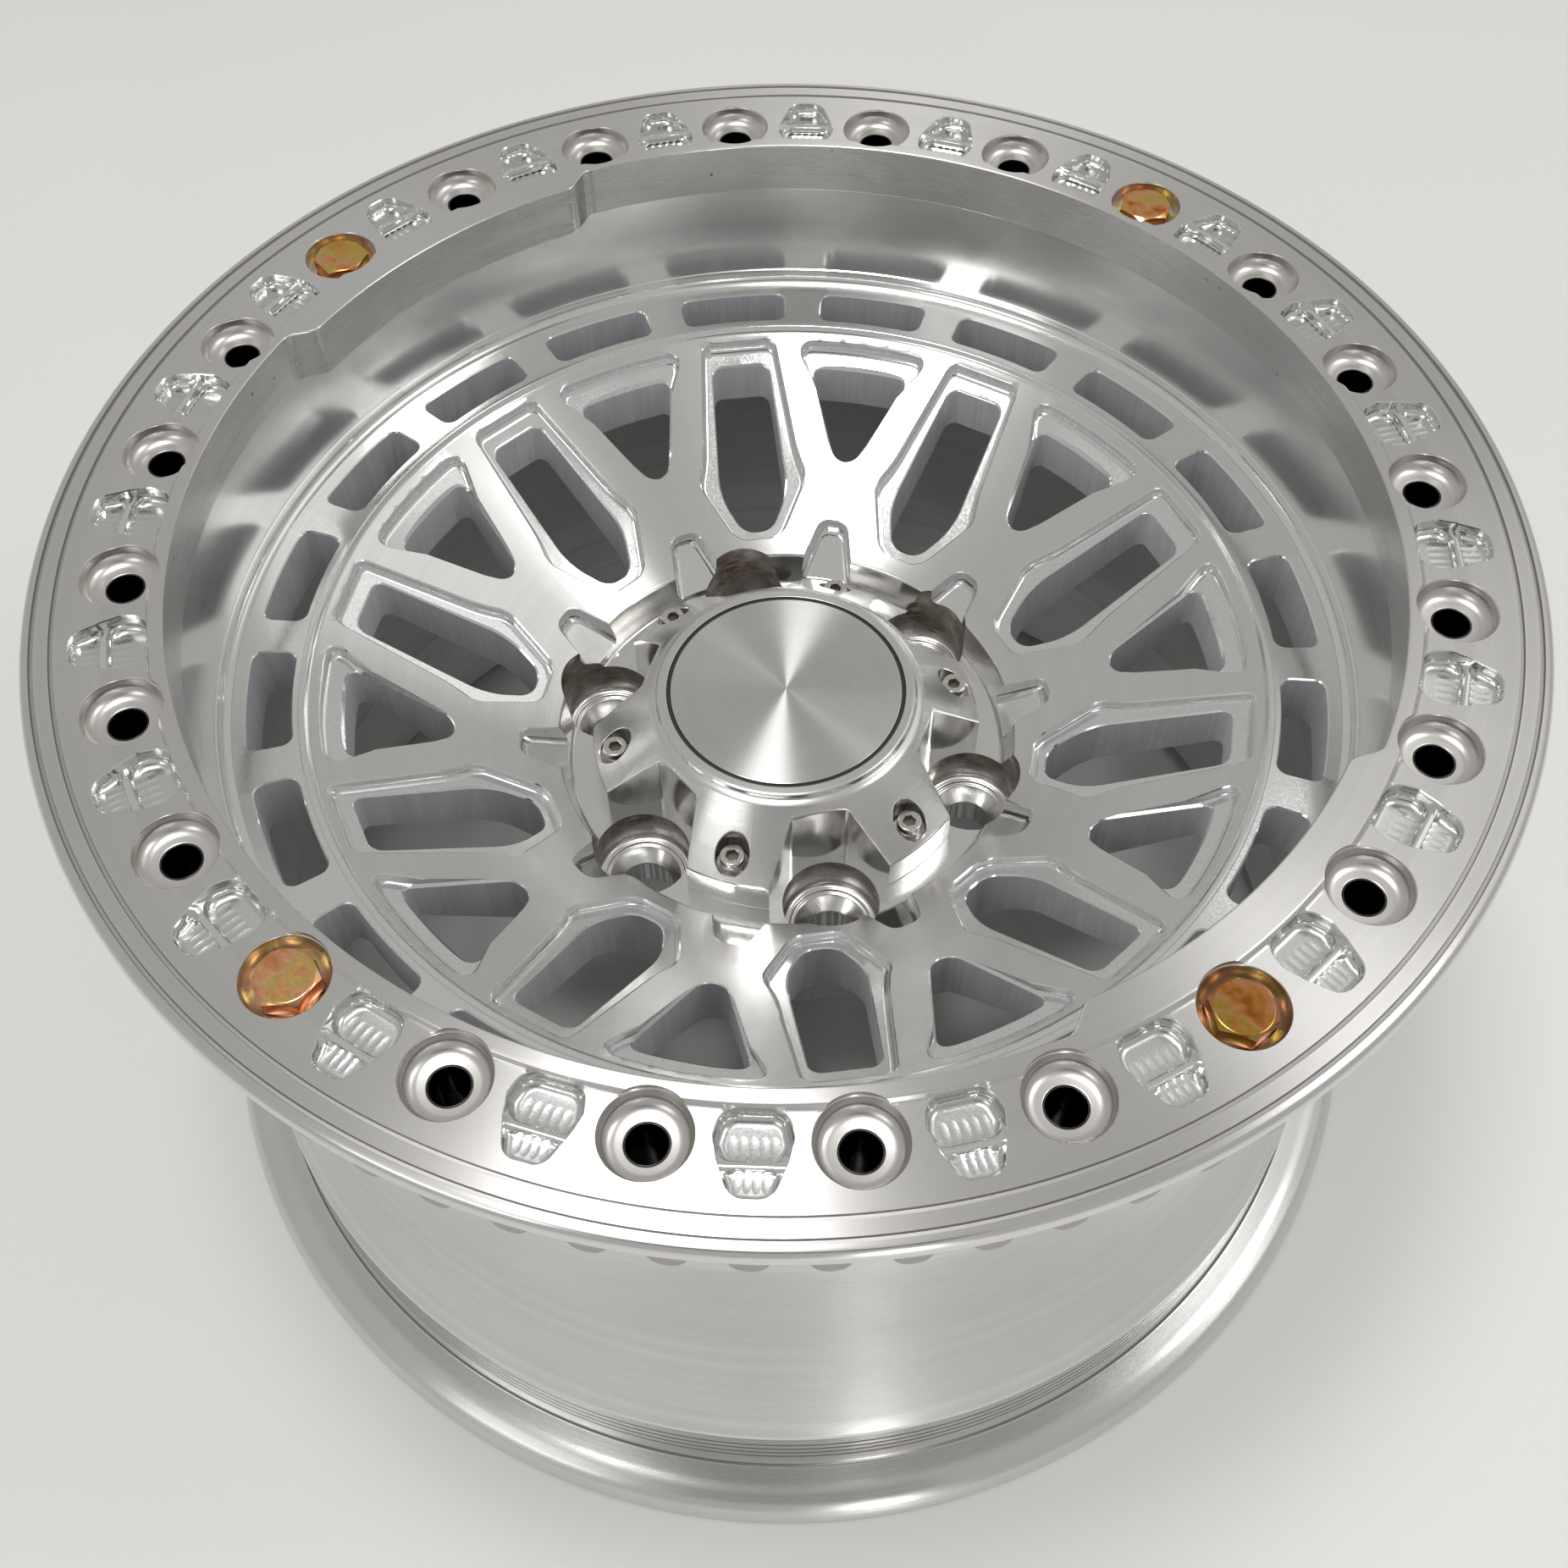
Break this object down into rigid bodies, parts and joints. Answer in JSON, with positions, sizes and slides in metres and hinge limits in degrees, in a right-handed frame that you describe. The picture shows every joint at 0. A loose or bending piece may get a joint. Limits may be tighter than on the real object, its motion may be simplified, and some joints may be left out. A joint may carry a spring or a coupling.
{
  "type": "beadlock wheel",
  "caption": "Deep-dish forged aluminium wheel with a bolted clamp ring for the tyre bead, windowed spokes and a screwed centre cap, lying on its rear flange.",
  "frame": {"origin": "on the wheel axis, in the plane of the rear flange's outer face, on which the wheel lies", "axes": "+Z along the wheel axis toward the clamp ring and the street side; +X through the middle of one wide tab of the ring"},
  "size_m": [0.479, 0.479, 0.2777],
  "materials": {
    "wheel_alloy": "machined and polished bare forged aluminium",
    "ring_alloy": "turned and milled bare aluminium",
    "bolt_steel": "iridescent yellow plating",
    "insert_steel": "glossy black steel",
    "cap_alloy": "milled bare aluminium",
    "disc_alloy": "finely turned bare aluminium",
    "seal_rubber": "satin black rubber",
    "screw_steel": "bright stainless steel"
  },
  "bodies": {
    "root": {"wheel": "wheel_alloy", "beadlock_ring": "ring_alloy", "beadlock_bolts": "bolt_steel", "thread_inserts": "insert_steel", "centre_cap": "cap_alloy", "cap_disc": "disc_alloy", "cap_seal": "seal_rubber", "cap_screws": "screw_steel"}
  },
  "joints": []
}
